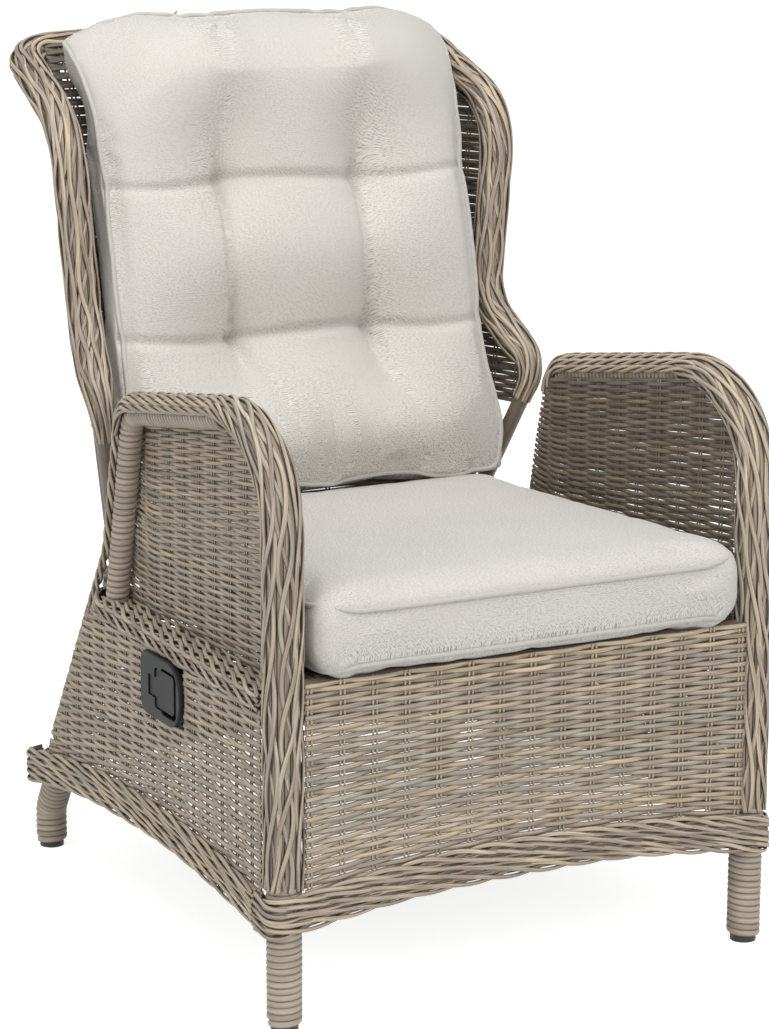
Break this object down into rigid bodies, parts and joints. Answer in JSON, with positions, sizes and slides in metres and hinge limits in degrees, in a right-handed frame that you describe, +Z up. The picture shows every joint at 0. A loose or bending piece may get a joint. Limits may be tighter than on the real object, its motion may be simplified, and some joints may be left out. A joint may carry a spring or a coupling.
{
  "type": "reclining garden armchair",
  "caption": "Woven garden armchair with a winged reclining back, loose seat and back cushions, and a release lever in the right side.",
  "frame": {"origin": "on the floor under the middle of the overall box", "axes": "+Z up, -Y the way the chair faces, +X to the sitter's left"},
  "size_m": [0.6524, 0.8049, 1.0516],
  "materials": {
    "frame_metal": "satin",
    "foot_plastic": "matte",
    "woven_strand": "satin",
    "braided_strand": "satin",
    "wrapped_strand": "satin",
    "cushion_cloth": "matte",
    "webbing": "matte",
    "bright_steel": "brushed",
    "lever_plastic": "satin",
    "black_metal": "satin"
  },
  "bodies": {
    "chair": {"front_leg_left": "frame_metal", "front_leg_right": "frame_metal", "rear_leg_left": "frame_metal", "rear_leg_right": "frame_metal", "foot_glides": "foot_plastic", "arm_tube_left": "frame_metal", "arm_tube_right": "frame_metal", "arm_collars": "frame_metal", "side_rail_left": "frame_metal", "side_rail_right": "frame_metal", "front_rail": "frame_metal", "rear_rail": "frame_metal", "spring_rail": "frame_metal", "seat_deck": "webbing", "hem_rods": "frame_metal", "front_panel": "woven_strand", "side_panel_left": "woven_strand", "side_panel_right": "woven_strand", "rear_panel": "woven_strand", "front_hem": "braided_strand", "side_hem_left": "braided_strand", "side_hem_right": "braided_strand", "rear_hem": "braided_strand", "ledge_left": "braided_strand", "ledge_right": "braided_strand", "arm_panel_left": "woven_strand", "arm_panel_right": "woven_strand", "front_band_left": "braided_strand", "front_band_right": "braided_strand", "arm_cap_left": "braided_strand", "arm_cap_right": "braided_strand", "edge_braid_left": "braided_strand", "edge_braid_right": "braided_strand", "front_leg_windings": "wrapped_strand", "rear_leg_windings": "wrapped_strand", "arm_windings": "wrapped_strand", "pivot_plates": "frame_metal", "pivot_bolts": "bright_steel", "pivot_nuts": "bright_steel", "spring_bracket": "frame_metal", "spring_pin_front": "bright_steel", "lever_bezel": "lever_plastic", "lever_pin": "bright_steel", "lever_screws": "bright_steel", "seat_cushion": "cushion_cloth"},
    "backrest": {"upright_left": "frame_metal", "upright_right": "frame_metal", "back_cross_tube": "frame_metal", "back_edge_tube": "frame_metal", "back_edge_band": "braided_strand", "back_panel": "woven_strand", "wing_left": "woven_strand", "wing_right": "woven_strand", "back_cushion": "cushion_cloth", "back_bracket": "frame_metal", "spring_pin_rear": "bright_steel"},
    "spring_rod": {"gas_rod": "bright_steel", "release_head": "black_metal"},
    "spring_cylinder": {"gas_cylinder": "black_metal"},
    "paddle": {"lever_paddle": "lever_plastic"}
  },
  "joints": [
    {"name": "backrest_recline", "type": "hinge", "parent": "chair", "child": "backrest", "pos_m": [0, 0.1765, 0.378], "axis": [-1, 0, 0], "range_deg": [0, 30]},
    {"name": "spring_swing", "type": "hinge", "parent": "chair", "child": "spring_rod", "pos_m": [0, -0.1985, 0.306], "axis": [1, 0, 0], "range_deg": [0, 3]},
    {"name": "spring_stroke", "type": "slide", "parent": "spring_rod", "child": "spring_cylinder", "axis": [0, 1, -0.0008], "range_m": [-0.04, 0]},
    {"name": "paddle_pull", "type": "hinge", "parent": "chair", "child": "paddle", "pos_m": [-0.31209, -0.06787, 0.312], "axis": [0, 0, -1], "range_deg": [0, 25], "stiffness_Nm_per_rad": 0.4}
  ],
  "couplings": [
    {"joint": "spring_swing", "follows": "backrest_recline", "ratio": 0.0725},
    {"joint": "spring_stroke", "follows": "backrest_recline", "m_per_rad": -0.0685}
  ]
}
